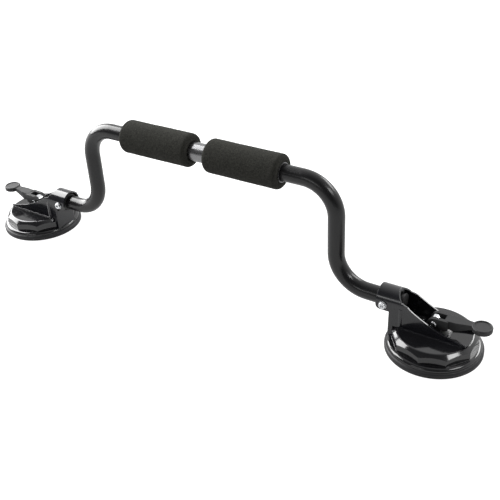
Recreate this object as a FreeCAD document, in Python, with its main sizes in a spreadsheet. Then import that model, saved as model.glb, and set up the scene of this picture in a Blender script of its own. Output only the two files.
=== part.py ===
import FreeCAD, Part
import math
import os
import Sketcher

# A lift-assist bar that stands on two lever-locked suction cups: a bent steel tube carries a
# foam-covered roller, and each end of the tube is bolted into the pressed saddle bracket of a cup.
#
# Frame: X along the bar, +Z up, origin on the resting plane midway between the two cups.
# Each cup unit is modelled once in its own frame, with its origin at the centre of the cup on the
# resting plane and +X pointing outboard, and is then placed at both ends of the bar.

DIMENSIONS = {
    # bent tube
    "tube_diameter": 21.3,
    "tube_wall": 1.5,
    "bend_radius": 43.5,
    "bar_height": 188.3,
    "tail_height": 52.5,
    "leg_spacing": 383.4,
    "cup_spacing": 647.0,
    "tail_end_inset": 41.0,
    # roller
    "sleeve_diameter": 25.0,
    "sleeve_bore": 23.2,
    "sleeve_length": 241.0,
    "foam_diameter": 44.6,
    "foam_length": 107.0,
    "foam_gap": 26.0,
    "foam_rounding": 6.0,
    "roller_bush_length": 15.0,
    "roller_bush_recess": 2.0,
    "stop_ring_diameter": 22.8,
    "stop_ring_width": 4.0,
    "running_clearance": 0.05,
    "end_float": 0.3,
    # end plug and pivot
    "plug_flange": 1.5,
    "plug_length": 13.0,
    "pivot_offset": 60.8,
    "pivot_ball_radius": 14.6,
    "pivot_ball_length": 16.0,
    "bolt_diameter": 5.0,
    "bolt_head_diameter": 9.0,
    "bolt_head_height": 2.7,
    "bolt_socket_flats": 4.0,
    "bolt_socket_depth": 1.8,
    "bolt_crown_rounding": 1.1,
    "bolt_reach": 24.85,
    "washer_diameter": 10.0,
    "washer_thickness": 1.0,
    "washer_stand": 17.15,
    "nut_flats": 8.0,
    "nut_height": 4.0,
    "nut_collar_diameter": 6.9,
    "nut_collar_height": 1.2,
    # suction pad
    "pad_radius": 59.0,
    "pad_lip": 53.0,
    "pad_rim_height": 7.0,
    "pad_edge_height": 4.6,
    "pad_shoulder_radius": 57.4,
    "pad_seat_radius": 45.5,
    "pad_web_radius": 43.5,
    "pad_web_height": 5.0,
    "pad_boss_foot": 36.0,
    "pad_boss_radius": 34.0,
    "pad_boss_height": 7.0,
    "pad_recess_radius": 24.0,
    "pad_recess_depth": 3.9,
    # cover
    "flange_radius": 56.5,
    "flange_top": 11.5,
    "flange_rounding": 4.2,
    "skirt_radius": 52.0,
    "skirt_top": 20.3,
    "shoulder_radius": 45.5,
    "cover_top": 26.0,
    "cover_rounding": 3.0,
    "cover_sheet": 2.5,
    "cover_bore": 45.3,
    "facet_count": 10.0,
    "facet_distance": 49.4,
    "notch_depth": 5.2,
    "notch_clearance": 0.15,
    "notch_bottom": 8.0,
    "boss_radius": 4.5,
    "boss_bottom": 14.0,
    # bracket
    "sheet": 2.0,
    "saddle_radius": 17.0,
    "draft_angle": 1.0,
    "saddle_length": 32.5,
    "saddle_end": 38.0,
    "crown_end": 46.5,
    "ear_bottom": 45.0,
    "ear_rounding": 6.0,
    "panel_face": 53.5,
    "panel_bottom": 8.2,
    "panel_top": 39.6,
    "panel_strip": 6.5,
    "fold_rounding": 1.6,
    "crease_radius": 5.0,
    "crease_rise": 0.6,
    "foot_height": 0.8,
    "foot_width": 1.4,
    "foot_start": -38.0,
    "foot_end": 40.0,
    "floor_end": 19.0,
    "fin_end": 43.0,
    "fin_end_height": 28.8,
    "fin_knee_x": -30.0,
    "fin_knee_height": 57.6,
    "fin_root_height": 60.0,
    "fin_arc_x": 65.1,
    "fin_arc_height": 191.8,
    "fin_arc_radius": 164.5,
    "clearance_hole": 5.5,
    # wear plate and screws
    "wear_plate_length": 31.8,
    "wear_plate_width": 24.0,
    "wear_plate_thickness": 1.0,
    "wear_plate_start": -13.0,
    "wear_plate_rounding": 11.0,
    "screw_diameter": 4.0,
    "screw_head_diameter": 8.0,
    "screw_head_height": 2.2,
    "screw_tip": 15.5,
    "screw_front_x": -20.0,
    "screw_rear_x": -38.0,
    "screw_spread": 9.0,
    # stud and spring
    "stud_diameter": 7.6,
    "stud_hole": 8.2,
    "eye_radius": 6.4,
    "eye_width": 8.0,
    "plate_radius": 30.0,
    "plate_bottom": 7.3,
    "plate_thickness": 1.6,
    "spring_radius": 9.0,
    "spring_wire": 1.6,
    "spring_bottom": 9.3,
    "spring_height": 13.8,
    "spring_turns": 5.0,
    "spring_segment": 1.0,
    # lever
    "lever_pin_height": 40.5,
    "lever_pin_diameter": 5.0,
    "pin_head_diameter": 7.5,
    "pin_head_height": 1.6,
    "pin_head_rounding": 1.1,
    "cam_radius": 9.6,
    "cam_offset": 2.28,
    "cam_angle": 40.0,
    "fork_width": 18.0,
    "fork_slot": 9.0,
    "fork_slot_end": 12.0,
    "fork_end": 17.0,
    "fork_top": 48.6,
    "heel_angle": 30.0,
    "heel_bottom": 36.0,
    "arm_width": 14.0,
    "neck_width": 9.0,
    "neck_x": 43.0,
    "arm_taper_x": 27.0,
    "arm_root_bottom": 38.6,
    "arm_root_top": 48.2,
    "arm_web_x": 24.0,
    "arm_web_bottom": 37.0,
    "arm_waist_x": 34.0,
    "arm_waist_bottom": 40.9,
    "arm_bend_top": 49.0,
    "arm_tip_x": 46.0,
    "arm_tip_bottom": 45.4,
    "arm_tip_top": 50.7,
    "arm_end_bottom": 45.8,
    "arm_end_top": 50.6,
    "paddle_x": 55.0,
    "paddle_radius": 12.0,
    "paddle_bottom": 44.8,
    "paddle_top": 51.6,
    "paddle_rounding": 1.6,
    "paddle_dish_radius": 9.4,
    "paddle_dish_depth": 0.8,
}

SIDES = {"left": -1, "right": 1}
UNIT_ORIGIN = ("0", "0", "0")

doc = FreeCAD.newDocument("lift_bar")
parts = []


# ---------------------------------------------------------------- helpers

def make_sheet():
    sheet = doc.addObject("Spreadsheet::Sheet", "dims")
    for row, (alias, value) in enumerate(DIMENSIONS.items(), start=1):
        sheet.set("A%d" % row, alias)
        sheet.set("B%d" % row, str(value))
        sheet.setAlias("B%d" % row, alias)
    doc.recompute()


def size(alias):
    """The value of one cell of the sheet."""
    return float(doc.dims.get(alias))


def bind(obj, **expressions):
    for prop, expression in expressions.items():
        obj.setExpression(prop, expression)
    return obj


def put(obj, x="0", y="0", z="0", rotation=None):
    """Binds the position of an object to the sheet."""
    if rotation:
        obj.Placement.Rotation = rotation
    for axis, expression in zip("xyz", (x, y, z)):
        obj.setExpression("Placement.Base." + axis, expression)
    return obj


ALONG = {
    "x": FreeCAD.Rotation(FreeCAD.Vector(0, 1, 0), 90),
    "y": FreeCAD.Rotation(FreeCAD.Vector(1, 0, 0), -90),
    "z": FreeCAD.Rotation(),
}


def rod(name, diameter, length, at=UNIT_ORIGIN, along="z"):
    """A cylinder that starts at a point and runs along one axis."""
    cylinder = doc.addObject("Part::Cylinder", name)
    bind(cylinder, Radius="(%s) / 2" % diameter, Height=length)
    return put(cylinder, *at, rotation=ALONG[along])


def crossing_rod(name, diameter, length, x="0", z="0"):
    """A cylinder along Y, centred on the XZ plane."""
    return rod(name, diameter, length, (x, "-(%s) / 2" % length, z), "y")


def block(name, low, high):
    """A box between two corners, each given as three expressions."""
    box = doc.addObject("Part::Box", name)
    spans = ["(%s) - (%s)" % (top, bottom) for bottom, top in zip(low, high)]
    bind(box, Length=spans[0], Width=spans[1], Height=spans[2])
    return put(box, *low)


def hexagon(name, flats, height, at, along):
    prism = doc.addObject("Part::Prism", name)
    prism.Polygon = 6
    bind(prism, Circumradius="(%s) / sqrt(3)" % flats, Height=height)
    return put(prism, *at, rotation=ALONG[along])


def fuse(name, shapes):
    union = doc.addObject("Part::MultiFuse", name)
    union.Shapes = shapes
    return union


def common(name, shapes):
    overlap = doc.addObject("Part::MultiCommon", name)
    overlap.Shapes = shapes
    return overlap


def cut(name, base, tool):
    result = doc.addObject("Part::Cut", name)
    result.Base = base
    result.Tool = tool
    return result


def rounded(name, base, radius, chosen):
    """Fillets the edges of base for which chosen(edge) is true."""
    doc.recompute()
    picked = [i for i, edge in enumerate(base.Shape.Edges, start=1) if chosen(edge)]
    if not picked:
        raise RuntimeError("no edge to round on " + name)
    fillet = doc.addObject("Part::Fillet", name)
    fillet.Base = base
    fillet.Edges = [(i, size(radius), size(radius)) for i in picked]
    return fillet


def origin_plane(body, role):
    return [feature for feature in body.Origin.OriginFeatures if feature.Role == role][0]


def new_sketch(body, name, plane):
    sketch = body.newObject("Sketcher::SketchObject", name)
    sketch.AttachmentSupport = [(origin_plane(body, plane), "")]
    sketch.MapMode = "FlatFace"
    return sketch


def fix_point(sketch, geometry, point, x, y):
    """Ties one point of a sketch to the sketch's origin by two dimensions from the sheet."""
    for kind, expression in (("DistanceX", x), ("DistanceY", y)):
        index = sketch.addConstraint(Sketcher.Constraint(kind, -1, 1, geometry, point, 1.0))
        sketch.setExpression("Constraints[%d]" % index, expression)


def corner_sketch(body, name, plane, corners):
    """A closed outline of straight lines whose corners are pairs of expressions."""
    sketch = new_sketch(body, name, plane)
    count = len(corners)
    turn = 2 * math.pi / count
    start = [FreeCAD.Vector(math.cos(i * turn), math.sin(i * turn), 0) for i in range(count)]
    for i in range(count):
        sketch.addGeometry(Part.LineSegment(start[i], start[(i + 1) % count]), False)
    for i in range(count):
        sketch.addConstraint(Sketcher.Constraint("Coincident", i, 2, (i + 1) % count, 1))
    for i, (x, y) in enumerate(corners):
        fix_point(sketch, i, 1, x, y)
    return sketch


def extruded(name, plane, corners, length, symmetric=True):
    """An outline padded to a length, either both ways from its plane or along its normal."""
    body = doc.addObject("PartDesign::Body", name)
    pad = body.newObject("PartDesign::Pad", name + "_pad")
    pad.Profile = corner_sketch(body, name + "_outline", plane, corners)
    if symmetric:
        pad.SideType = "Symmetric"
    bind(pad, Length=length)
    return body


def turned(name, corners):
    """A half section, in radius and height, turned round the Z axis."""
    body = doc.addObject("PartDesign::Body", name)
    sketch = corner_sketch(body, name + "_section", "XZ_Plane", corners)
    turning = body.newObject("PartDesign::Revolution", name + "_turning")
    turning.Profile = sketch
    turning.ReferenceAxis = (sketch, ["V_Axis"])
    turning.Angle = 360
    return body


def finish(obj, label):
    """Names a sub-part and lists it for export."""
    obj.Label = label
    parts.append(obj)
    return obj


def on_unit(obj, side, label, height="0"):
    """Places a sub-part that is drawn in the cup unit's frame, +X outboard."""
    sign = SIDES[side]
    facing = FreeCAD.Rotation(FreeCAD.Vector(0, 0, 1), 0 if sign > 0 else 180)
    put(obj, "%d * dims.cup_spacing / 2" % sign, "0", height, facing)
    return finish(obj, side + "_" + label)


def on_pivot(obj, side, label):
    """Places a sub-part that is drawn about the cup's pivot, the same way round on both sides."""
    offset = "%d * (dims.cup_spacing / 2 - dims.pivot_offset)" % SIDES[side]
    put(obj, offset, "0", "dims.tail_height")
    return finish(obj, side + "_" + label)


# ---------------------------------------------------------------- bent tube

def nearest_end(sketch, geometry, where):
    """The number, 1 or 2, of the end of a curve that lies at a place."""
    gaps = {point: sketch.getPoint(geometry, point).distanceToPoint(where) for point in (1, 2)}
    return min(gaps, key=gaps.get)


def bar_path(body):
    """The centreline, from left to right: tail, leg, top, leg and tail, with a bend between each."""
    sketch = new_sketch(body, "bar_path", "XZ_Plane")
    end = size("cup_spacing") / 2 - size("tail_end_inset")
    leg = size("leg_spacing") / 2
    low = size("tail_height")
    high = size("bar_height")
    radius = size("bend_radius")
    outline = [(-end, low), (-leg, low), (-leg, high), (leg, high), (leg, low), (end, low)]
    corners = [FreeCAD.Vector(x, z, 0) for x, z in outline]
    cursor = corners[0]
    joints = []
    for before, corner, after in zip(corners, corners[1:], corners[2:]):
        into = (corner - before).normalize()
        out = (after - corner).normalize()
        start = corner - into * radius
        stop = corner + out * radius
        middle = corner + (out - into) * radius * (1 - math.sqrt(0.5))
        sketch.addGeometry(Part.LineSegment(cursor, start), False)
        sketch.addGeometry(Part.ArcOfCircle(start, middle, stop), False)
        joints += [start, stop]
        cursor = stop
    sketch.addGeometry(Part.LineSegment(cursor, corners[-1]), False)

    for i, place in enumerate(joints):
        ends = (nearest_end(sketch, i, place), nearest_end(sketch, i + 1, place))
        sketch.addConstraint(Sketcher.Constraint("Tangent", i, ends[0], i + 1, ends[1]))
    for arc in (1, 3, 5, 7):
        index = sketch.addConstraint(Sketcher.Constraint("Radius", arc, radius))
        sketch.setExpression("Constraints[%d]" % index, "dims.bend_radius")
    for line, direction in ((0, "Horizontal"), (2, "Vertical"), (4, "Horizontal"), (6, "Vertical"),
                            (8, "Horizontal")):
        sketch.addConstraint(Sketcher.Constraint(direction, line))
    tail_end = "dims.cup_spacing / 2 - dims.tail_end_inset"
    fix_point(sketch, 0, 1, "-(%s)" % tail_end, "dims.tail_height")
    fix_point(sketch, 8, 2, tail_end, "dims.tail_height")
    for line, point, kind, expression in ((2, 2, "DistanceX", "-dims.leg_spacing / 2"),
                                          (6, 2, "DistanceX", "dims.leg_spacing / 2"),
                                          (4, 1, "DistanceY", "dims.bar_height")):
        index = sketch.addConstraint(Sketcher.Constraint(kind, -1, 1, line, point, 1.0))
        sketch.setExpression("Constraints[%d]" % index, expression)
    return sketch


def bar_tube():
    body = doc.addObject("PartDesign::Body", "bar_tube_body")
    path = bar_path(body)
    ring = new_sketch(body, "bar_ring", "YZ_Plane")
    ring.setExpression("AttachmentOffset.Base.z", "-(dims.cup_spacing / 2 - dims.tail_end_inset)")
    for radius in ("dims.tube_diameter / 2", "dims.tube_diameter / 2 - dims.tube_wall"):
        circle = ring.addGeometry(Part.Circle(FreeCAD.Vector(0, size("tail_height"), 0),
                                              FreeCAD.Vector(0, 0, 1), size("tube_diameter") / 3), False)
        index = ring.addConstraint(Sketcher.Constraint("Radius", circle, size("tube_diameter") / 3))
        ring.setExpression("Constraints[%d]" % index, radius)
        fix_point(ring, circle, 3, "0", "dims.tail_height")
    doc.recompute()
    pipe = body.newObject("PartDesign::AdditivePipe", "bar_pipe")
    pipe.Profile = ring
    pipe.Spine = (path, ["Edge%d" % i for i in range(1, 10)])
    holes = []
    for side, sign in SIDES.items():
        across = "%d * (dims.cup_spacing / 2 - dims.pivot_offset)" % sign
        holes.append(crossing_rod(side + "_tube_hole", "dims.bolt_diameter + 4 * dims.running_clearance",
                                  "2 * dims.tube_diameter", across, "dims.tail_height"))
    finish(cut("bar_tube", body, fuse("tube_holes", holes)), "bar_tube")


# ---------------------------------------------------------------- roller

def foam(side):
    sign = SIDES[side]
    name = side + "_foam"
    start = "%d * dims.foam_gap / 2 + %d * dims.foam_length" % (sign, min(sign, 0))
    at = (start, "0", "dims.bar_height")
    outer = rod(name + "_outer", "dims.foam_diameter", "dims.foam_length", at, "x")
    bore = rod(name + "_bore", "dims.sleeve_diameter", "dims.foam_length", at, "x")
    radius = size("foam_diameter") / 2
    rim = rounded(name + "_rim", outer, "foam_rounding",
                  lambda edge: edge.Curve.TypeId == "Part::GeomCircle" and edge.Curve.Radius > radius - 0.1)
    finish(cut(name, rim, bore), name)


def roller_sleeve():
    at = ("-dims.sleeve_length / 2", "0", "dims.bar_height")
    outer = rod("sleeve_outer", "dims.sleeve_diameter", "dims.sleeve_length", at, "x")
    bore = rod("sleeve_inner", "dims.sleeve_bore", "dims.sleeve_length", at, "x")
    finish(cut("roller_sleeve", outer, bore), "roller_sleeve")


def roller_ring(name, side, outer, bore, start, length):
    """A plain ring round the top of the bar, placed by its distance from the middle."""
    low = start if SIDES[side] > 0 else "-(%s) - (%s)" % (start, length)
    at = (low, "0", "dims.bar_height")
    label = side + "_" + name
    finish(cut(label, rod(label + "_outer", outer, length, at, "x"),
               rod(label + "_bore", bore, length, at, "x")), label)


BUSH_START = "dims.sleeve_length / 2 - dims.roller_bush_recess - dims.roller_bush_length"


def roller_bush(side):
    """The bearing pressed into the end of the sleeve, set back from its mouth."""
    roller_ring("roller_bush", side, "dims.sleeve_bore", "dims.tube_diameter + 2 * dims.running_clearance",
                BUSH_START, "dims.roller_bush_length")


def stop_ring(side):
    """The ring on the tube, inside the sleeve, that the bush runs against."""
    roller_ring("stop_ring", side, "dims.stop_ring_diameter", "dims.tube_diameter",
                BUSH_START + " - dims.end_float - dims.stop_ring_width", "dims.stop_ring_width")


# ---------------------------------------------------------------- ends of the tube

def end_plug(side):
    """A push-in plug: a flange that covers the tube's end and a stem inside the tube."""
    name = side + "_end_plug"
    face = "-dims.tail_end_inset"
    flange = rod(name + "_flange", "dims.tube_diameter", "dims.plug_flange",
                 (face, "0", "dims.tail_height"), "x")
    stem = rod(name + "_stem", "dims.tube_diameter - 2 * dims.tube_wall", "dims.plug_length",
               (face + " - dims.plug_length", "0", "dims.tail_height"), "x")
    on_unit(fuse(name, [flange, stem]), side, "end_plug")


def pivot_bush(side):
    """A ball-shaped bush on the tube, which lets the cup rock about its bolt."""
    name = side + "_pivot_bush"
    ball = doc.addObject("Part::Sphere", name + "_ball")
    bind(ball, Radius="dims.pivot_ball_radius")
    barrel = rod(name + "_barrel", "3 * dims.pivot_ball_radius", "dims.pivot_ball_length",
                 ("-dims.pivot_ball_length / 2", "0", "0"), "x")
    bore = rod(name + "_bore", "dims.tube_diameter", "4 * dims.pivot_ball_radius",
               ("-2 * dims.pivot_ball_radius", "0", "0"), "x")
    hole = crossing_rod(name + "_hole", "dims.bolt_diameter + 2 * dims.running_clearance",
                        "4 * dims.pivot_ball_radius")
    ring = cut(name + "_ring", common(name + "_body", [ball, barrel]), bore)
    on_pivot(cut(name, ring, hole), side, "pivot_bush")


def pivot_bolt(side):
    """A button head screw through the saddle, the bush and the tube, its head towards -Y."""
    name = side + "_pivot_bolt"
    seat = "-(dims.washer_stand + dims.washer_thickness)"
    top = seat + " - dims.bolt_head_height"
    head = rod(name + "_head", "dims.bolt_head_diameter", "dims.bolt_head_height", ("0", top, "0"), "y")
    shank = rod(name + "_shank", "dims.bolt_diameter",
                "dims.bolt_reach + dims.washer_stand + dims.washer_thickness", ("0", seat, "0"), "y")
    socket = hexagon(name + "_socket", "dims.bolt_socket_flats", "dims.bolt_socket_depth",
                     ("0", top, "0"), "y")
    rim = size("washer_stand") + size("washer_thickness") + size("bolt_head_height")
    crown = rounded(name + "_crown", head, "bolt_crown_rounding",
                    lambda edge: edge.Curve.TypeId == "Part::GeomCircle" and edge.CenterOfMass.y < 0.1 - rim)
    on_pivot(cut(name, fuse(name + "_blank", [crown, shank]), socket), side, "pivot_bolt")


def bolt_washers(side):
    name = side + "_bolt_washers"
    rings = []
    for end, start in (("head", "-dims.washer_stand - dims.washer_thickness"), ("nut", "dims.washer_stand")):
        disc = rod("%s_%s" % (name, end), "dims.washer_diameter", "dims.washer_thickness",
                   ("0", start, "0"), "y")
        hole = rod("%s_%s_hole" % (name, end), "dims.bolt_diameter", "dims.washer_thickness",
                   ("0", start, "0"), "y")
        rings.append(cut("%s_%s_ring" % (name, end), disc, hole))
    pair = doc.addObject("Part::Compound", name)
    pair.Links = rings
    on_pivot(pair, side, "bolt_washers")


def pivot_nut(side):
    """A hexagon lock nut with a round collar."""
    name = side + "_pivot_nut"
    seat = "dims.washer_stand + dims.washer_thickness"
    body = hexagon(name + "_hexagon", "dims.nut_flats", "dims.nut_height", ("0", seat, "0"), "y")
    collar = rod(name + "_collar", "dims.nut_collar_diameter", "dims.nut_height + dims.nut_collar_height",
                 ("0", seat, "0"), "y")
    hole = rod(name + "_thread", "dims.bolt_diameter", "2 * dims.nut_height", ("0", seat, "0"), "y")
    on_pivot(cut(name, fuse(name + "_blank", [body, collar]), hole), side, "pivot_nut")


# ---------------------------------------------------------------- suction cup

def suction_pad(side):
    """A rubber disc, shown clamped: its middle is drawn up off the resting plane."""
    name = side + "_suction_pad"
    pad = turned(name, [
        ("0", "dims.pad_recess_depth"),
        ("dims.pad_recess_radius", "dims.pad_recess_depth"),
        ("dims.pad_lip", "0"),
        ("dims.pad_radius", "0"),
        ("dims.pad_radius", "dims.pad_edge_height"),
        ("dims.pad_shoulder_radius", "dims.pad_rim_height"),
        ("dims.pad_seat_radius", "dims.pad_rim_height"),
        ("dims.pad_web_radius", "dims.pad_web_height"),
        ("dims.pad_boss_foot", "dims.pad_web_height"),
        ("dims.pad_boss_radius", "dims.pad_boss_height"),
        ("0", "dims.pad_boss_height"),
    ])
    on_unit(pad, side, "suction_pad")


def rim_finder(radius, height):
    """Picks the circular edge of a turned part that has one radius at one height."""
    wanted = (size(radius), size(height))
    return lambda edge: (edge.Curve.TypeId == "Part::GeomCircle"
                         and abs(edge.Curve.Radius - wanted[0]) < 0.05
                         and abs(edge.Curve.Center.z - wanted[1]) < 0.05)


def panel_notch(name):
    """The notch in the skirt and flange that the bracket's inboard panel drops into."""
    wide = "2 * dims.saddle_radius"
    slab = block(name + "_slab", ("-dims.panel_face - dims.notch_clearance", "-" + wide, "dims.notch_bottom"),
                 ("-dims.skirt_radius + dims.notch_depth", wide, "2 * dims.cover_top"))
    return common(name, [slab, arch(name + "_arch", "-dims.notch_clearance")])


def cup_cover(side):
    """A moulded cover: round flange, ten-sided skirt, bevelled shoulder and flat top."""
    name = side + "_cup_cover"
    shell = turned(name + "_shell", [
        ("dims.cover_bore", "dims.pad_rim_height"),
        ("dims.flange_radius", "dims.pad_rim_height"),
        ("dims.flange_radius", "dims.flange_top"),
        ("dims.skirt_radius", "dims.flange_top"),
        ("dims.skirt_radius", "dims.skirt_top"),
        ("dims.shoulder_radius", "dims.cover_top"),
        ("dims.stud_hole / 2", "dims.cover_top"),
        ("dims.stud_hole / 2", "dims.cover_top - dims.cover_sheet"),
        ("dims.cover_bore - dims.cover_sheet", "dims.cover_top - dims.cover_sheet"),
        ("dims.cover_bore", "dims.cover_top - 2 * dims.cover_sheet"),
    ])
    lip = rounded(name + "_lip", shell, "flange_rounding", rim_finder("flange_radius", "flange_top"))
    crown = rounded(name + "_crown", lip, "cover_rounding", rim_finder("shoulder_radius", "cover_top"))
    bosses = []
    cutters = [panel_notch(name + "_notch")]
    for i, (x, y) in enumerate(screw_places()):
        bosses.append(rod("%s_boss_%d" % (name, i), "2 * dims.boss_radius",
                          "dims.cover_top - dims.cover_sheet / 2 - dims.boss_bottom",
                          (x, y, "dims.boss_bottom")))
        cutters.append(rod("%s_screw_hole_%d" % (name, i), "dims.screw_diameter",
                           "2 * dims.cover_top", (x, y, "dims.boss_bottom")))
    half = "dims.skirt_radius * tan(180deg / dims.facet_count)"
    for i in range(int(size("facet_count"))):
        facet = doc.addObject("Part::Box", "%s_facet_%d" % (name, i))
        bind(facet, Length="dims.flange_radius - dims.facet_distance", Width="2 * " + half,
             Height="dims.cover_top - dims.flange_top")
        angle = "(%d * 360deg / dims.facet_count)" % i
        turn = FreeCAD.Rotation(FreeCAD.Vector(0, 0, 1), 360 / size("facet_count") * i)
        put(facet, "dims.facet_distance * cos%s + %s * sin%s" % (angle, half, angle),
            "dims.facet_distance * sin%s - %s * cos%s" % (angle, half, angle), "dims.flange_top", turn)
        cutters.append(facet)
    blank = fuse(name + "_blank", [crown] + bosses)
    on_unit(cut(name, blank, fuse(name + "_cutters", cutters)), side, "cup_cover")


def screw_places():
    return [(x, "%d * dims.screw_spread" % sign)
            for x in ("dims.screw_rear_x", "dims.screw_front_x") for sign in (-1, 1)]


def pull_stud(side):
    """The stud that draws the pad up: a shank with a flat eye for the lever's pin."""
    name = side + "_pull_stud"
    shank = rod(name + "_shank", "dims.stud_diameter",
                "dims.lever_pin_height - dims.eye_radius / 2 - dims.plate_bottom",
                ("0", "0", "dims.plate_bottom"))
    eye = crossing_rod(name + "_eye", "2 * dims.eye_radius", "dims.eye_width", "0", "dims.lever_pin_height")
    hole = crossing_rod(name + "_hole", "dims.lever_pin_diameter + 2 * dims.running_clearance",
                        "2 * dims.eye_width", "0", "dims.lever_pin_height")
    on_unit(cut(name, fuse(name + "_blank", [shank, eye]), hole), side, "pull_stud")


def stud_plate(side):
    name = side + "_stud_plate"
    at = ("0", "0", "dims.plate_bottom")
    disc = rod(name + "_disc", "2 * dims.plate_radius", "dims.plate_thickness", at)
    hole = rod(name + "_hole", "dims.stud_diameter", "dims.plate_thickness", at)
    on_unit(cut(name, disc, hole), side, "stud_plate")


def return_spring(side):
    """The coil that pushes the pad back down when the lever lets go."""
    name = side + "_return_spring"
    coil = doc.addObject("Part::Helix", name + "_coil")
    rise = "(dims.spring_height - dims.spring_wire)"
    bind(coil, Radius="dims.spring_radius", Height=rise, Pitch=rise + " / dims.spring_turns",
         SegmentLength="dims.spring_segment")
    wire = doc.addObject("Part::Circle", name + "_wire")
    bind(wire, Radius="dims.spring_wire / 2")
    put(wire, "dims.spring_radius", rotation=FreeCAD.Rotation(FreeCAD.Vector(1, 0, 0), 90))
    sweep = doc.addObject("Part::Sweep", name + "_sweep")
    sweep.Sections = [wire]
    sweep.Spine = (coil, [])
    sweep.Solid = True
    sweep.Frenet = True
    on_unit(sweep, side, "return_spring", "dims.spring_bottom + dims.spring_wire / 2")


# ---------------------------------------------------------------- bracket

def arch(name, inset):
    """The drafted arch that the bracket is pressed to, drawn in by an inset, as a solid along X."""
    radius = "(dims.saddle_radius - (%s))" % inset
    slope = "dims.draft_angle * 1deg"
    start = "-dims.pivot_offset - dims.saddle_length"
    length = "2 * dims.saddle_length + 2 * dims.pivot_offset"
    crown = rod(name + "_crown", "2 * " + radius, length, (start, "0", "dims.tail_height"), "x")
    top = "dims.tail_height + %s * sin(%s)" % (radius, slope)
    half_top = "%s * cos(%s)" % (radius, slope)
    half_foot = "%s + (%s) * tan(%s)" % (half_top, top, slope)
    legs = extruded(name + "_legs", "YZ_Plane",
                    [("-(%s)" % half_foot, "0"), (half_foot, "0"), (half_top, top), ("-(%s)" % half_top, top)],
                    length, symmetric=True)
    return fuse(name, [crown, legs])


def bracket_side(name):
    """The bracket from the side: a saddle with rounded ears and a sloping end, and a hollow-edged fin."""
    wide = "4 * dims.saddle_radius"
    saddle = extruded(name + "_saddle", "XZ_Plane", [
        ("-dims.saddle_end - dims.saddle_length", "dims.ear_bottom"),
        ("-dims.saddle_end", "dims.ear_bottom"),
        ("-dims.saddle_end", "dims.fin_root_height"),
        ("-dims.crown_end", "dims.tail_height + dims.saddle_radius"),
        ("-dims.crown_end", "2 * dims.tail_height"),
        ("-dims.saddle_end - dims.saddle_length", "2 * dims.tail_height"),
    ], wide)
    ear_x = -size("saddle_end") - size("saddle_length")
    ear_z = size("ear_bottom")
    ears = rounded(name + "_ears", saddle, "ear_rounding",
                   lambda edge: abs(edge.CenterOfMass.x - ear_x) < 0.1 and abs(edge.CenterOfMass.z - ear_z) < 0.1)
    fin = extruded(name + "_fin", "XZ_Plane", [
        ("-dims.panel_face", "dims.panel_bottom"),
        ("-dims.panel_face + dims.panel_strip", "dims.panel_bottom"),
        ("-dims.panel_face + dims.panel_strip", "dims.cover_top"),
        ("dims.fin_end", "dims.cover_top"),
        ("dims.fin_end", "dims.fin_end_height"),
        ("dims.fin_knee_x", "dims.fin_knee_height"),
        ("-dims.saddle_end", "dims.fin_root_height"),
        ("-dims.panel_face", "dims.fin_root_height"),
    ], wide)
    hollow = crossing_rod(name + "_hollow", "2 * dims.fin_arc_radius", "8 * dims.saddle_radius",
                          "dims.fin_arc_x", "dims.fin_arc_height")
    return fuse(name, [ears, cut(name + "_fins", fin, hollow)])


def creases(name):
    """The pressed ridge down each side of the bracket where the saddle ends and the fins begin."""
    ridges = []
    drop = "dims.tail_height - dims.cover_top"
    for label, sign in (("near", -1), ("far", 1)):
        ridge = doc.addObject("Part::Cylinder", "%s_%s" % (name, label))
        bind(ridge, Radius="dims.crease_radius", Height=drop)
        lean = FreeCAD.Rotation(FreeCAD.Vector(1, 0, 0), 180 + sign * size("draft_angle"))
        put(ridge, "-dims.saddle_end", "%d * (dims.saddle_radius + dims.crease_rise - dims.crease_radius)" % sign,
            "dims.tail_height", lean)
        ridges.append(ridge)
    return ridges


def feet(name):
    """The low lip along the foot of each fin, where the bracket sits on the cover."""
    strips = []
    half_foot = "dims.saddle_radius + (dims.tail_height - dims.cover_top) * tan(dims.draft_angle * 1deg)"
    for label, sign in (("near", -1), ("far", 1)):
        edges = ("%d * (%s)" % (sign, half_foot), "%d * (%s + dims.foot_width)" % (sign, half_foot))
        low, high = edges if sign > 0 else edges[::-1]
        strips.append(block("%s_%s" % (name, label), ("dims.foot_start", low, "dims.cover_top"),
                            ("dims.foot_end", high, "dims.cover_top + dims.foot_height")))
    return strips


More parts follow.
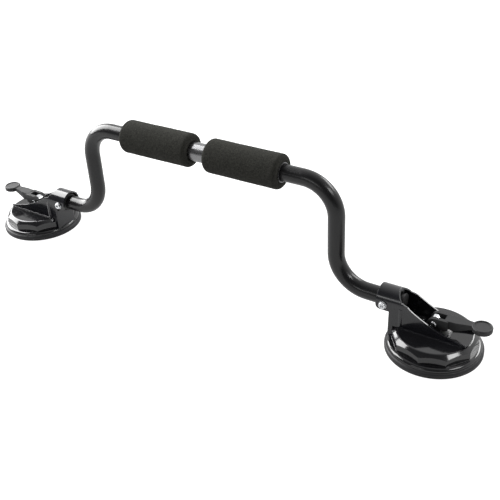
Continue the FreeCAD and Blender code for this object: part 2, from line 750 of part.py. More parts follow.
def bracket(side):
    """The pressed steel bracket: saddle, two fins, floor and inboard panel in one sheet."""
    name = side + "_bracket"
    outer = arch(name + "_outer", "0")
    inner = arch(name + "_inner", "dims.sheet")
    wide = "2 * dims.saddle_radius"
    floor = block(name + "_floor", ("-dims.panel_face", "-" + wide, "dims.cover_top"),
                  ("dims.floor_end", wide, "dims.cover_top + dims.sheet"))
    panel = block(name + "_panel", ("-dims.panel_face", "-" + wide, "dims.panel_bottom"),
                  ("-dims.panel_face + dims.sheet", wide, "dims.panel_top"))
    void = cut(name + "_void", inner, fuse(name + "_plates", [floor, panel]))
    press = common(name + "_press", [outer, bracket_side(name + "_side")])
    solid = fuse(name + "_solid", [press] + creases(name + "_crease") + feet(name + "_foot"))
    shell = cut(name + "_shell", solid, void)
    bolt_hole = crossing_rod(name + "_bolt_hole", "dims.clearance_hole", "4 * dims.saddle_radius",
                             "-dims.pivot_offset", "dims.tail_height")
    holes = [bolt_hole, rod(name + "_stud_hole", "dims.stud_hole", "dims.cover_top / 2",
                            ("0", "0", "dims.cover_top - dims.sheet"))]
    for i, (x, y) in enumerate(screw_places()):
        holes.append(rod("%s_screw_hole_%d" % (name, i), "dims.screw_diameter", "3 * dims.sheet",
                         (x, y, "dims.cover_top - dims.sheet")))
    drilled = cut(name + "_drilled", shell, fuse(name + "_holes", holes))
    face = -size("panel_face")
    folds = rounded(name, drilled, "fold_rounding",
                    lambda edge: abs(edge.BoundBox.XMin - face) < 0.01 and abs(edge.BoundBox.XMax - face) < 0.01
                    and edge.BoundBox.ZLength > 20 and abs(edge.CenterOfMass.y) > size("saddle_radius"))
    on_unit(folds, side, "bracket")


def wear_plate(side):
    """The hard plate on the bracket's floor that the lever's cams ride on."""
    name = side + "_wear_plate"
    low = "dims.cover_top + dims.sheet"
    plate = block(name + "_blank", ("dims.wear_plate_start", "-dims.wear_plate_width / 2", low),
                  ("dims.wear_plate_start + dims.wear_plate_length", "dims.wear_plate_width / 2",
                   low + " + dims.wear_plate_thickness"))
    end = size("wear_plate_start") + size("wear_plate_length")
    nose = rounded(name + "_nose", plate, "wear_plate_rounding",
                   lambda edge: edge.BoundBox.XMin > end - 0.1 and edge.BoundBox.YLength < 0.1)
    hole = rod(name + "_hole", "dims.stud_hole", "dims.cover_top", ("0", "0", "dims.cover_top"))
    on_unit(cut(name, nose, hole), side, "wear_plate")


def bracket_screws(side):
    """The four pan head screws that hold the bracket's floor to the cover."""
    name = side + "_bracket_screws"
    seat = "dims.cover_top + dims.sheet"
    screws = []
    for i, (x, y) in enumerate(screw_places()):
        head = rod("%s_head_%d" % (name, i), "dims.screw_head_diameter", "dims.screw_head_height", (x, y, seat))
        shank = rod("%s_shank_%d" % (name, i), "dims.screw_diameter", seat + " - dims.screw_tip",
                    (x, y, "dims.screw_tip"))
        screws.append(fuse("%s_%d" % (name, i), [head, shank]))
    group = doc.addObject("Part::Compound", name)
    group.Links = screws
    on_unit(group, side, "bracket_screws")


# ---------------------------------------------------------------- lever

def lever_arm(name):
    """The arm: a side outline that thins towards the paddle, narrowed in plan to a neck."""
    profile = extruded(name + "_side", "XZ_Plane", [
        ("dims.fork_slot_end", "dims.arm_root_bottom"),
        ("dims.arm_web_x", "dims.arm_web_bottom"),
        ("dims.arm_waist_x", "dims.arm_waist_bottom"),
        ("dims.arm_tip_x", "dims.arm_tip_bottom"),
        ("dims.paddle_x", "dims.arm_end_bottom"),
        ("dims.paddle_x", "dims.arm_end_top"),
        ("dims.arm_tip_x", "dims.arm_tip_top"),
        ("dims.fork_end", "dims.arm_bend_top"),
        ("dims.fork_slot_end", "dims.arm_root_top"),
    ], "dims.arm_width")
    plan = extruded(name + "_plan", "XY_Plane", [
        ("dims.fork_slot_end", "-dims.arm_width / 2"),
        ("dims.arm_taper_x", "-dims.arm_width / 2"),
        ("dims.neck_x", "-dims.neck_width / 2"),
        ("dims.paddle_x", "-dims.neck_width / 2"),
        ("dims.paddle_x", "dims.neck_width / 2"),
        ("dims.neck_x", "dims.neck_width / 2"),
        ("dims.arm_taper_x", "dims.arm_width / 2"),
        ("dims.fork_slot_end", "dims.arm_width / 2"),
    ], "4 * dims.paddle_top")
    return common(name, [profile, plan])


def lever_paddle(name):
    """The round thumb paddle, with a shallow dish inside a raised rim."""
    disc = rod(name + "_disc", "2 * dims.paddle_radius", "dims.paddle_top - dims.paddle_bottom",
               ("dims.paddle_x", "0", "dims.paddle_bottom"))
    edge_radius = size("paddle_radius")
    return rounded(name, disc, "paddle_rounding",
                   lambda edge: edge.Curve.TypeId == "Part::GeomCircle"
                   and abs(edge.Curve.Radius - edge_radius) < 0.1)


def lever(side):
    """The cam lever: two cams form a fork round the stud's eye, and the arm ends in a paddle."""
    name = side + "_lever"
    cam_x = "dims.cam_offset * sin(dims.cam_angle * 1deg)"
    cam_z = "dims.lever_pin_height - dims.cam_offset * cos(dims.cam_angle * 1deg)"
    cams = crossing_rod(name + "_cams", "2 * dims.cam_radius", "dims.fork_width", cam_x, cam_z)
    heel = extruded(name + "_heel", "XZ_Plane", [
        (cam_x, cam_z),
        (cam_x + " + dims.cam_radius * cos(dims.heel_angle * 1deg)",
         cam_z + " - dims.cam_radius * sin(dims.heel_angle * 1deg)"),
        ("dims.fork_end", "dims.heel_bottom"),
        ("dims.fork_end", "dims.fork_top"),
        (cam_x, cam_z + " + dims.cam_radius"),
    ], "dims.fork_width")
    blank = fuse(name + "_blank", [cams, heel, lever_arm(name + "_arm"), lever_paddle(name + "_paddle")])
    slot = block(name + "_slot", ("-dims.paddle_x", "-dims.fork_slot / 2", "0"),
                 ("dims.fork_slot_end", "dims.fork_slot / 2", "2 * dims.paddle_top"))
    pin_hole = crossing_rod(name + "_pin_hole", "dims.lever_pin_diameter", "2 * dims.fork_width",
                            "0", "dims.lever_pin_height")
    dish = rod(name + "_dish", "2 * dims.paddle_dish_radius", "dims.paddle_top",
               ("dims.paddle_x", "0", "dims.paddle_top - dims.paddle_dish_depth"))
    on_unit(cut(name, blank, fuse(name + "_cuts", [slot, pin_hole, dish])), side, "lever")


def lever_pin(side):
    """A clevis pin: a flat head on one cheek of the fork and a riveted end past the other."""
    name = side + "_lever_pin"
    cheek = "-dims.fork_width / 2"
    shank = rod(name + "_shank", "dims.lever_pin_diameter", "dims.fork_width + dims.pin_head_height",
                ("0", cheek, "dims.lever_pin_height"), "y")
    head = rod(name + "_head", "dims.pin_head_diameter", "dims.pin_head_height",
               ("0", cheek + " - dims.pin_head_height", "dims.lever_pin_height"), "y")
    face = size("fork_width") / 2 + size("pin_head_height")
    dome = rounded(name + "_dome", head, "pin_head_rounding",
                   lambda edge: edge.Curve.TypeId == "Part::GeomCircle" and edge.CenterOfMass.y < 0.1 - face)
    on_unit(fuse(name, [shank, dome]), side, "lever_pin")


# ---------------------------------------------------------------- build and export

def build():
    make_sheet()
    bar_tube()
    roller_sleeve()
    per_side = (foam, roller_bush, stop_ring, end_plug, pivot_bush, pivot_bolt, bolt_washers, pivot_nut,
                suction_pad, cup_cover, pull_stud, stud_plate, return_spring, bracket, wear_plate,
                bracket_screws, lever, lever_pin)
    for side in SIDES:
        for make in per_side:
            make(side)
    doc.recompute()


def check():
    for obj in doc.Objects:
        if "Invalid" in obj.State or "Error" in obj.State:
            raise RuntimeError("%s failed: %s" % (obj.Name, obj.State))
    for obj in parts:
        if obj.Shape.isNull() or not obj.Shape.isValid() or not obj.Shape.Solids:
            raise RuntimeError("%s has no valid solid" % obj.Label)


def export():
    os.makedirs("parts", exist_ok=True)
    for obj in parts:
        obj.Shape.exportStep(os.path.join("parts", obj.Label + ".step"))
        box = obj.Shape.BoundBox
        print("%-22s %8.1f mm3  x %.1f..%.1f  y %.1f..%.1f  z %.1f..%.1f" % (
            obj.Label, obj.Shape.Volume, box.XMin, box.XMax, box.YMin, box.YMax, box.ZMin, box.ZMax))


build()
check()
export()
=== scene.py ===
import math

import bmesh
import bpy
from mathutils import Matrix, Vector, noise


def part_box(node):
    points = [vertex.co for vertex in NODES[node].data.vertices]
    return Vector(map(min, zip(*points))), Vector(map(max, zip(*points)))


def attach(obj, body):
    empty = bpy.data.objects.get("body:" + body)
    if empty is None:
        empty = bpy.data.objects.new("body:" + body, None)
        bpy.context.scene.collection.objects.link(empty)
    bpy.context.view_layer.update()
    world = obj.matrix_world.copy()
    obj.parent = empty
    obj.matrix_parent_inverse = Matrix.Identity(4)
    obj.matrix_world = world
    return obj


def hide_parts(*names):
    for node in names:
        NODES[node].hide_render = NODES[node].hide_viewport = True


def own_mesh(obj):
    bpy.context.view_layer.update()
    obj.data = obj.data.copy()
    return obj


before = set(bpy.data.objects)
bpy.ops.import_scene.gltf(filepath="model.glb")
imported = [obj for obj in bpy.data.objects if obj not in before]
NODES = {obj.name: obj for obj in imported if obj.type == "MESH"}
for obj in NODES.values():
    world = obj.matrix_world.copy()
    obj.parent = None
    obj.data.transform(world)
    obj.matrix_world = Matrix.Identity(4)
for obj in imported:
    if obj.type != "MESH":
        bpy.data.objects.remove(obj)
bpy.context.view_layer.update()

# Looks of the lift bar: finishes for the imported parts, the foam grips and rubber pads modelled again in
# finer detail, and the studio. Lengths are in metres, and MM turns millimetres into them.

MM = 0.001
SIDES = {"left": -1, "right": 1}
CUP_X = (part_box("right_suction_pad")[0].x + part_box("right_suction_pad")[1].x) / 2
BAR_Z = (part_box("roller_sleeve")[0].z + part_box("roller_sleeve")[1].z) / 2

# The Mix node has sockets of the same name for every kind of data. These are its colour ones.
MIX_FACTOR = 0
MIX_FIRST_COLOR = 6
MIX_SECOND_COLOR = 7
MIX_RESULT_COLOR = 2

BEVEL_SAMPLES = 6
EVEN = (1, 1, 1)
# where most values of a noise texture lie
USUAL_NOISE = (0.3, 0.7)

# foam grip: rounding of its outer rims and of its bore's rims, and how uneven its surface is
FOAM_RIM = 5.5 * MM
FOAM_LIP = 1.5 * MM
FOAM_SWELL = 0.22 * MM
FOAM_SWELL_SCALE = 38
FOAM_GRAIN = 0.09 * MM
FOAM_GRAIN_SCALE = 420
FOAM_INSET = 0.15 * MM

# rubber pad: the rim meets the moving middle at the seam
PAD_SEAM = 45.5 * MM
PAD_TOP = 7.0 * MM
PAD_SEAM_UNDERSIDE = 2.2 * MM
PAD_SLOPE_FOOT = (49.8 * MM, 1.25 * MM)
PAD_SHOULDER = 57.4 * MM
PAD_CORNER = 0.7 * MM
# The lists below are in millimetres. First the radii of the ribs that touch the panel.
PAD_RIBS = (51.4, 53.6, 55.8)
# one rib and the groove outside it: distance from the rib's middle, height
PAD_RIB_SHAPE = ((-0.8, 0.15), (-0.35, 0.0), (0.35, 0.0), (0.6, 0.12), (0.85, 0.6), (1.1, 0.6))
# the outer wall with its parting groove: distance from the pad's full radius, height
PAD_WALL = ((0, 0.7), (0, 1.5), (-0.25, 1.75), (-0.25, 2.0), (0, 2.25), (0, 4.3), (-0.3, 5.0), (-1.0, 6.2))
# the chamfer from the wall to the flat top: distance from the shoulder, distance from the top
PAD_CHAMFER = ((-0.1, -0.15), (-0.6, 0))
# the middle inside the seam, over the top and back underneath: radius, height
PAD_MIDDLE = ((43.6, 5.1), (36, 5.0), (34, 7.0), (20, 7.0), (0.5, 7.0),
              (0.5, 3.9), (12, 3.9), (24, 3.9), (34, 3.1), (45.5, 2.2))


# ---------------------------------------------------------------- node helpers

def new_material(name, color, roughness, metallic=0.0, specular=0.5):
    """A Principled material, ready for textures to be fed to its shader."""
    material = bpy.data.materials.new(name)
    material.use_nodes = True
    shader = material.node_tree.nodes["Principled BSDF"]
    shader.inputs["Base Color"].default_value = (*color, 1)
    shader.inputs["Roughness"].default_value = roughness
    shader.inputs["Metallic"].default_value = metallic
    shader.inputs["Specular IOR Level"].default_value = specular
    material.diffuse_color = (*color, 1)
    return material, shader


def feed(material, shader, socket, value):
    material.node_tree.links.new(value, shader.inputs[socket])


def coordinates(material, axis_scales):
    """Object coordinates, scaled per axis."""
    nodes = material.node_tree.nodes
    links = material.node_tree.links
    place = nodes.new("ShaderNodeTexCoord")
    mapping = nodes.new("ShaderNodeMapping")
    mapping.inputs["Scale"].default_value = axis_scales
    links.new(place.outputs["Object"], mapping.inputs["Vector"])
    return mapping.outputs["Vector"]


def noise_texture(material, scale, detail, roughness=0.55, axis_scales=EVEN, distortion=0.0):
    texture = material.node_tree.nodes.new("ShaderNodeTexNoise")
    texture.inputs["Scale"].default_value = scale
    texture.inputs["Detail"].default_value = detail
    texture.inputs["Roughness"].default_value = roughness
    texture.inputs["Distortion"].default_value = distortion
    material.node_tree.links.new(coordinates(material, axis_scales), texture.inputs["Vector"])
    return texture.outputs["Fac"]


def cell_texture(material, scale):
    """Distance to the middle of the nearest cell."""
    texture = material.node_tree.nodes.new("ShaderNodeTexVoronoi")
    texture.feature = "F1"
    texture.inputs["Scale"].default_value = scale
    material.node_tree.links.new(coordinates(material, EVEN), texture.inputs["Vector"])
    return texture.outputs["Distance"]


def remap(owner, value, old, new):
    """Rescales a value from one (low, high) range to another, clamped, in a material or the world."""
    node = owner.node_tree.nodes.new("ShaderNodeMapRange")
    node.inputs["From Min"].default_value, node.inputs["From Max"].default_value = old
    node.inputs["To Min"].default_value, node.inputs["To Max"].default_value = new
    owner.node_tree.links.new(value, node.inputs["Value"])
    return node.outputs["Result"]


def combine(material, first, second, operation="ADD"):
    """One arithmetic step on two values, each a socket or a number."""
    node = material.node_tree.nodes.new("ShaderNodeMath")
    node.operation = operation
    for socket, value in zip(node.inputs, (first, second)):
        if isinstance(value, (int, float)):
            socket.default_value = value
        else:
            material.node_tree.links.new(value, socket)
    return node.outputs[0]


def vary_color(material, shader, value, dark, light):
    """Shades the base colour from dark to light by a texture's value."""
    node = material.node_tree.nodes.new("ShaderNodeMix")
    node.data_type = "RGBA"
    node.inputs[MIX_FIRST_COLOR].default_value = (*dark, 1)
    node.inputs[MIX_SECOND_COLOR].default_value = (*light, 1)
    material.node_tree.links.new(value, node.inputs[MIX_FACTOR])
    feed(material, shader, "Base Color", node.outputs[MIX_RESULT_COLOR])


def vary_roughness(material, shader, value, smooth, rough, old=USUAL_NOISE):
    """Varies the roughness between two limits by a texture's value."""
    feed(material, shader, "Roughness", remap(material, value, old, (smooth, rough)))


def bump(material, shader, height, strength, distance, edge=0.0):
    """Relief from a texture, over edges that look rounded by a radius."""
    nodes = material.node_tree.nodes
    links = material.node_tree.links
    node = nodes.new("ShaderNodeBump")
    node.inputs["Strength"].default_value = strength
    node.inputs["Distance"].default_value = distance
    links.new(height, node.inputs["Height"])
    if edge:
        soft = nodes.new("ShaderNodeBevel")
        soft.samples = BEVEL_SAMPLES
        soft.inputs["Radius"].default_value = edge
        links.new(soft.outputs["Normal"], node.inputs["Normal"])
    links.new(node.outputs["Normal"], shader.inputs["Normal"])


# ---------------------------------------------------------------- materials

def painted_tube():
    """Satin black powder coat: a fine orange peel, with slightly glossier and duller patches."""
    material, shader = new_material("powder_coat", (0.005, 0.005, 0.0055), roughness=0.24, specular=0.42)
    patches = noise_texture(material, scale=14, detail=3)
    specks = noise_texture(material, scale=900, detail=2)
    peel = noise_texture(material, scale=520, detail=2)
    fine_peel = noise_texture(material, scale=2200, detail=1)
    vary_roughness(material, shader, patches, smooth=0.2, rough=0.28)
    vary_color(material, shader, specks, dark=(0.0035, 0.0035, 0.004), light=(0.0075, 0.0075, 0.008))
    bump(material, shader, combine(material, peel, fine_peel), strength=0.1, distance=0.2 * MM)
    return material


def painted_bracket():
    """Glossy black enamel over pressed steel."""
    material, shader = new_material("enamel", (0.005, 0.0055, 0.0075), roughness=0.16, specular=0.64)
    patches = noise_texture(material, scale=30, detail=4)
    specks = noise_texture(material, scale=260, detail=3)
    peel = noise_texture(material, scale=330, detail=2)
    vary_roughness(material, shader, patches, smooth=0.12, rough=0.22)
    vary_color(material, shader, specks, dark=(0.004, 0.0045, 0.0065), light=(0.008, 0.008, 0.010))
    bump(material, shader, peel, strength=0.04, distance=0.2 * MM, edge=0.6 * MM)
    return material


def moulded_cover():
    """High gloss black moulding with faint handling marks."""
    material, shader = new_material("gloss_moulding", (0.005, 0.005, 0.006), roughness=0.11, specular=0.68)
    marks = noise_texture(material, scale=45, detail=6, roughness=0.65, distortion=0.6)
    mottle = noise_texture(material, scale=80, detail=3)
    sink = noise_texture(material, scale=60, detail=2)
    vary_roughness(material, shader, marks, smooth=0.07, rough=0.16, old=(0.35, 0.7))
    vary_color(material, shader, mottle, dark=(0.004, 0.004, 0.005), light=(0.008, 0.008, 0.009))
    bump(material, shader, sink, strength=0.05, distance=0.4 * MM, edge=0.9 * MM)
    return material


def lever_plastic():
    """Dark grey nylon with a fine spark-eroded texture and slightly rounded edges."""
    material, shader = new_material("lever_plastic", (0.02, 0.02, 0.021), roughness=0.46, specular=0.4)
    grain = noise_texture(material, scale=1500, detail=2, roughness=0.6)
    mottle = noise_texture(material, scale=60, detail=4)
    shade = combine(material, grain, mottle, "MULTIPLY")
    vary_color(material, shader, shade, dark=(0.008, 0.008, 0.0085), light=(0.022, 0.022, 0.024))
    vary_roughness(material, shader, mottle, smooth=0.4, rough=0.54)
    bump(material, shader, grain, strength=0.16, distance=0.2 * MM, edge=0.7 * MM)
    return material


def soft_foam():
    """Closed-cell foam: charcoal, with pores coarse enough to read as grain, and a faint mottle."""
    material, shader = new_material("foam", (0.027, 0.027, 0.023), roughness=0.95, specular=0.1)
    shader.inputs["Sheen Weight"].default_value = 0.015
    shader.inputs["Sheen Roughness"].default_value = 0.6
    shader.inputs["Sheen Tint"].default_value = (0.55, 0.56, 0.5, 1)
    pores = noise_texture(material, scale=620, detail=5, roughness=0.75)
    cells = cell_texture(material, scale=1100)
    mottle = noise_texture(material, scale=260, detail=4)
    grain = combine(material, remap(material, pores, old=(0.34, 0.66), new=(0.0, 0.8)),
                    remap(material, cells, old=(0.1, 0.7), new=(-0.12, 0.2)))
    shade = combine(material, grain, remap(material, mottle, old=(0.35, 0.65), new=(-0.08, 0.1)))
    faint_mottle = combine(material, mottle, 0.25, "MULTIPLY")
    vary_color(material, shader, shade, dark=(0.009, 0.009, 0.0078), light=(0.037, 0.037, 0.032))
    vary_roughness(material, shader, pores, smooth=0.88, rough=1.0)
    bump(material, shader, combine(material, grain, faint_mottle), strength=0.75, distance=0.6 * MM)
    return material


def moulded_rubber():
    """Matte black rubber with a dusty bloom."""
    material, shader = new_material("rubber", (0.015, 0.015, 0.016), roughness=0.5, specular=0.36)
    bloom = noise_texture(material, scale=70, detail=6, roughness=0.7)
    specks = noise_texture(material, scale=1600, detail=2)
    shade = combine(material, bloom, specks, "MULTIPLY")
    vary_color(material, shader, shade, dark=(0.007, 0.007, 0.008), light=(0.024, 0.024, 0.026))
    vary_roughness(material, shader, bloom, smooth=0.42, rough=0.6)
    bump(material, shader, combine(material, specks, bloom), strength=0.12, distance=0.2 * MM)
    return material


def brushed_steel(name, color, roughness, axis_scales):
    """Steel with fine marks drawn out along the axis that has the smallest scale."""
    mark_shade = 0.72
    smoother = 0.07
    rougher = 0.09
    material, shader = new_material(name, color, roughness, metallic=1.0)
    marks = noise_texture(material, scale=1.0, detail=5, roughness=0.7, axis_scales=axis_scales)
    stain = noise_texture(material, scale=55, detail=4)
    shade = combine(material, marks, stain, "MULTIPLY")
    darker = tuple(mark_shade * channel for channel in color)
    vary_color(material, shader, shade, dark=darker, light=color)
    vary_roughness(material, shader, marks, smooth=roughness - smoother, rough=roughness + rougher)
    bump(material, shader, marks, strength=0.12, distance=0.1 * MM, edge=0.3 * MM)
    return material


def bright_zinc():
    """Bright zinc plate: nearly polished, with a faint cloudiness."""
    material, shader = new_material("bright_zinc", (0.74, 0.75, 0.77), roughness=0.2, metallic=1.0)
    cloud = noise_texture(material, scale=260, detail=5, roughness=0.6)
    grain = noise_texture(material, scale=900, detail=2)
    vary_color(material, shader, cloud, dark=(0.60, 0.61, 0.63), light=(0.84, 0.85, 0.86))
    vary_roughness(material, shader, cloud, smooth=0.13, rough=0.28)
    bump(material, shader, grain, strength=0.06, distance=0.1 * MM, edge=0.4 * MM)
    return material


def dull_nylon():
    """Black nylon of the bushes and plugs."""
    material, shader = new_material("nylon", (0.012, 0.012, 0.012), roughness=0.5)
    grain = noise_texture(material, scale=1100, detail=3)
    vary_color(material, shader, grain, dark=(0.008, 0.008, 0.008), light=(0.02, 0.02, 0.02))
    vary_roughness(material, shader, grain, smooth=0.42, rough=0.6)
    bump(material, shader, grain, strength=0.1, distance=0.1 * MM)
    return material


def all_materials():
    return {
        "tube": painted_tube(), "bracket": painted_bracket(), "cover": moulded_cover(),
        "lever": lever_plastic(), "foam": soft_foam(), "rubber": moulded_rubber(),
        "sleeve": brushed_steel("sleeve_steel", (0.27, 0.27, 0.275), 0.26, axis_scales=(25, 3000, 3000)),
        "steel": brushed_steel("plain_steel", (0.6, 0.6, 0.6), 0.32, axis_scales=(400, 2500, 2500)),
        "zinc": bright_zinc(), "nylon": dull_nylon(),
    }


def assign(obj, material):
    obj.data.materials.clear()
    obj.data.materials.append(material)


def dress_cad_nodes(materials):
    """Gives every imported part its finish."""
    finishes = {
        "bar_tube": "tube", "roller_sleeve": "sleeve", "roller_bush": "nylon", "stop_ring": "steel",
        "end_plug": "nylon", "pivot_bush": "nylon", "pivot_bolt": "zinc", "bolt_washers": "zinc",
        "pivot_nut": "zinc", "cup_cover": "cover", "pull_stud": "zinc", "stud_plate": "steel",
        "return_spring": "steel", "bracket": "bracket", "wear_plate": "steel", "bracket_screws": "zinc",
        "lever": "lever", "lever_pin": "zinc", "foam": "foam", "suction_pad": "rubber",
    }
    for name, obj in NODES.items():
        part = name.removeprefix("left_").removeprefix("right_")
        assign(obj, materials[finishes[part]])


# ---------------------------------------------------------------- meshes

def revolve(name, profile, steps, wobble=None):
    """Turns a closed outline of (radius, height) points round Z. wobble(point) returns an offset."""
    mesh = bpy.data.meshes.new(name)
    grid = bmesh.new()
    rings = []
    for i in range(steps):
        angle = 2 * math.pi * i / steps
        ring = []
        for radius, height in profile:
            point = Vector((radius * math.cos(angle), radius * math.sin(angle), height))
            if wobble:
                point += wobble(point)
            ring.append(grid.verts.new(point))
        rings.append(ring)
    count = len(profile)
    for i in range(steps):
        here, after = rings[i], rings[(i + 1) % steps]
        for j in range(count):
            k = (j + 1) % count
            grid.faces.new((here[j], after[j], after[k], here[k]))
    grid.normal_update()
    bmesh.ops.recalc_face_normals(grid, faces=grid.faces)
    grid.to_mesh(mesh)
    grid.free()
    for polygon in mesh.polygons:
        polygon.use_smooth = True
    obj = bpy.data.objects.new(name, mesh)
    bpy.context.scene.collection.objects.link(obj)
    return obj


def arc(center, radius, start, stop, steps):
    """Points on a circle in the outline's plane, from one angle to another in degrees."""
    points = []
    for i in range(steps + 1):
        angle = math.radians(start + (stop - start) * i / steps)
        points.append((center[0] + radius * math.cos(angle), center[1] + radius * math.sin(angle)))
    return points


def line(start, stop, steps):
    """Points between two ends, without the ends."""
    return [(start[0] + (stop[0] - start[0]) * i / steps, start[1] + (stop[1] - start[1]) * i / steps)
            for i in range(1, steps)]


def foam_outline(outer, inner, length):
    """Half section of a foam grip, round the outside and back through the bore."""
    outline = arc((outer - FOAM_RIM, FOAM_RIM), FOAM_RIM, -90, 0, steps=10)
    outline += line((outer, FOAM_RIM), (outer, length - FOAM_RIM), steps=90)
    outline += arc((outer - FOAM_RIM, length - FOAM_RIM), FOAM_RIM, 0, 90, steps=10)
    outline += line((outer - FOAM_RIM, length), (inner + FOAM_LIP, length), steps=3)
    outline += arc((inner + FOAM_LIP, length - FOAM_LIP), FOAM_LIP, 90, 180, steps=4)
    outline += line((inner, length - FOAM_LIP), (inner, FOAM_LIP), steps=12)
    outline += arc((inner + FOAM_LIP, FOAM_LIP), FOAM_LIP, 180, 270, steps=4)
    outline += line((inner + FOAM_LIP, 0), (outer - FOAM_RIM, 0), steps=3)
    return outline


def foam_grip(side, materials):
    """A foam tube on the sleeve: rounded rims, and a surface that is never quite true."""
    low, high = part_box(side + "_foam")
    outer = (high.z - low.z) / 2
    inner = (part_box("roller_sleeve")[1].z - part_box("roller_sleeve")[0].z) / 2
    # a place in the noise of its own for each grip
    seed = Vector((0.3 * SIDES[side], 1.7, 4.1))

    def wobble(point):
        radius = math.hypot(point.x, point.y)
        give = max(0.0, (radius - inner) / (outer - inner))
        slow = noise.noise(point * FOAM_SWELL_SCALE + seed)
        fast = noise.noise(point * FOAM_GRAIN_SCALE + seed)
        push = give * (FOAM_SWELL * slow + FOAM_GRAIN * fast - FOAM_INSET)
        return Vector((point.x, point.y, 0)).normalized() * push

    outline = foam_outline(outer, inner, length=high.x - low.x)
    grip = revolve(side + "_foam_grip", outline, steps=180, wobble=wobble)
    to_bar = Matrix.Translation((low.x, 0, BAR_Z)) @ Matrix.Rotation(math.radians(90), 4, "Y")
    grip.data.transform(to_bar)
    assign(grip, materials["foam"])
    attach(grip, "roller")
    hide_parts(side + "_foam")


def rim_outline(outer):
    """Section of the pad's rim: ribbed underneath, a grooved wall, and a flat top back to the seam."""
    outline = [(PAD_SEAM, PAD_TOP), (PAD_SEAM, PAD_SEAM_UNDERSIDE), PAD_SLOPE_FOOT]
    for rib in PAD_RIBS:
        outline += [(rib * MM + across * MM, height * MM) for across, height in PAD_RIB_SHAPE]
    outline += arc((outer - PAD_CORNER, PAD_CORNER), PAD_CORNER, -90, 0, steps=4)
    outline += [(outer + across * MM, height * MM) for across, height in PAD_WALL]
    outline += [(PAD_SHOULDER + across * MM, PAD_TOP + up * MM) for across, up in PAD_CHAMFER]
    outline += line(outline[-1], (PAD_SEAM, PAD_TOP), steps=5)
    return outline


def rubber_pad(side, materials):
    """The moulded rubber: a rim that grips, and a middle drawn up by the stud."""
    low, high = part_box(side + "_suction_pad")
    outer = (high.y - low.y) / 2
    center = Vector((SIDES[side] * CUP_X, 0, 0))
    ring = revolve(side + "_pad_rim", rim_outline(outer), steps=160)
    ring.data.transform(Matrix.Translation(center))
    assign(ring, materials["rubber"])
    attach(ring, side + "_cup")
    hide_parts(side + "_suction_pad")

    middle = [(PAD_SEAM, PAD_TOP)] + [(radius * MM, height * MM) for radius, height in PAD_MIDDLE]
    membrane = revolve(side + "_pad_membrane", middle, steps=96)
    membrane.data.transform(Matrix.Translation(center))
    assign(membrane, materials["rubber"])
    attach(membrane, side + "_cup")
    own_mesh(membrane)


# ---------------------------------------------------------------- studio

def white_floor():
    """White sweep paper that glows a little, and more for the camera, so that shadows on it stay faint."""
    glow_on_object = 0.42
    glow_in_view = 0.9
    drop = 0.5 * MM
    material, shader = new_material("paper", (0.3, 0.3, 0.3), roughness=0.9, specular=0.1)
    shader.inputs["Emission Color"].default_value = (1, 1, 1, 1)
    seen = material.node_tree.nodes.new("ShaderNodeLightPath")
    glow = remap(material, seen.outputs["Is Camera Ray"], old=(0, 1), new=(glow_on_object, glow_in_view))
    feed(material, shader, "Emission Strength", glow)
    fibres = noise_texture(material, scale=2, detail=2)
    vary_color(material, shader, fibres, dark=(0.29, 0.29, 0.29), light=(0.31, 0.31, 0.31))
    bpy.ops.mesh.primitive_plane_add(size=12, location=(0, 0, -drop))
    floor = bpy.context.object
    floor.name = "floor"
    assign(floor, material)


def area_light(name, place, aim, width, height, power):
    lamp = bpy.data.lights.new(name, "AREA")
    lamp.shape = "RECTANGLE"
    lamp.size = width
    lamp.size_y = height
    lamp.energy = power
    obj = bpy.data.objects.new(name, lamp)
    obj.location = place
    obj.rotation_euler = (Vector(aim) - Vector(place)).to_track_quat("-Z", "Y").to_euler()
    bpy.context.scene.collection.objects.link(obj)


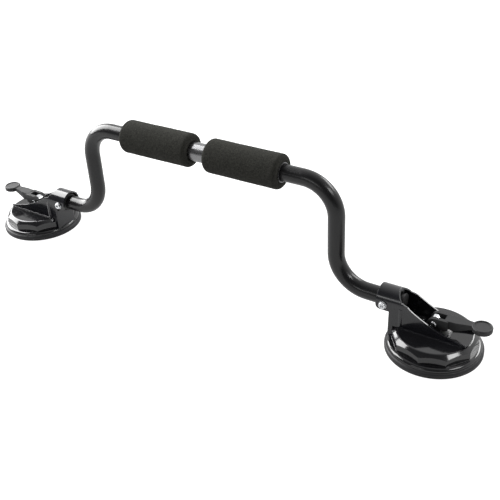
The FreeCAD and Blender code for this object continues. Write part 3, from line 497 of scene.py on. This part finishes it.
def studio_walls():
    """White behind the object for the camera; for the object, a room that darkens towards the front."""
    world = bpy.data.worlds.new("studio")
    bpy.context.scene.world = world
    world.use_nodes = True
    nodes = world.node_tree.nodes
    links = world.node_tree.links
    walls = nodes["Background"]
    place = nodes.new("ShaderNodeTexCoord")
    split = nodes.new("ShaderNodeSeparateXYZ")
    links.new(place.outputs["Generated"], split.inputs["Vector"])
    depth = remap(world, split.outputs["Y"], old=(-0.4, 0.6), new=(0.14, 1.1))
    links.new(depth, walls.inputs["Strength"])
    walls.inputs["Color"].default_value = (1, 1, 1, 1)
    backdrop = nodes.new("ShaderNodeBackground")
    backdrop.inputs["Color"].default_value = (1, 1, 1, 1)
    backdrop.inputs["Strength"].default_value = 1.0
    seen = nodes.new("ShaderNodeLightPath")
    mix = nodes.new("ShaderNodeMixShader")
    links.new(seen.outputs["Is Camera Ray"], mix.inputs[0])
    links.new(walls.outputs["Background"], mix.inputs[1])
    links.new(backdrop.outputs["Background"], mix.inputs[2])
    links.new(mix.outputs["Shader"], nodes["World Output"].inputs["Surface"])


def studio():
    studio_walls()
    area_light("window", place=(-1.9, 0.05, 1.15), aim=(0, 0, 0.1), width=1.8, height=2.1, power=130)
    area_light("front", place=(-0.2, -2.1, 1.0), aim=(0.1, 0, 0.05), width=1.1, height=0.3, power=4)
    area_light("rim", place=(0.9, 1.75, 1.2), aim=(0.25, 0, 0.05), width=1.3, height=0.55, power=22)
    area_light("side", place=(1.45, -0.12, 1.3), aim=(0.32, 0.05, 0.03), width=0.7, height=0.35, power=8)
    scene = bpy.context.scene
    scene.view_settings.view_transform = "Standard"
    scene.view_settings.look = "None"


def camera():
    """The viewpoint: above and in front of the right cup, looking along the bar to the left."""
    place = Vector((564.28, -744.02, 630.84)) * MM
    yaw = math.radians(33.830)
    pitch = math.radians(32.436)
    roll = math.radians(-3.280)
    forward = Vector((-math.sin(yaw) * math.cos(pitch), math.cos(yaw) * math.cos(pitch), -math.sin(pitch)))
    level = Vector((math.cos(yaw), math.sin(yaw), 0))
    above = level.cross(forward)
    right = level * math.cos(roll) + above * math.sin(roll)
    up = above * math.cos(roll) - level * math.sin(roll)
    data = bpy.data.cameras.new("camera")
    data.sensor_width = 36
    data.lens = 58.1
    data.clip_start = 0.01
    obj = bpy.data.objects.new("camera", data)
    turn = Matrix((right, up, -forward)).transposed().to_4x4()
    obj.matrix_world = Matrix.Translation(place) @ turn
    bpy.context.scene.collection.objects.link(obj)
    bpy.context.scene.camera = obj


def main():
    materials = all_materials()
    dress_cad_nodes(materials)
    for side in SIDES:
        foam_grip(side, materials)
        rubber_pad(side, materials)
    white_floor()
    studio()
    camera()


main()
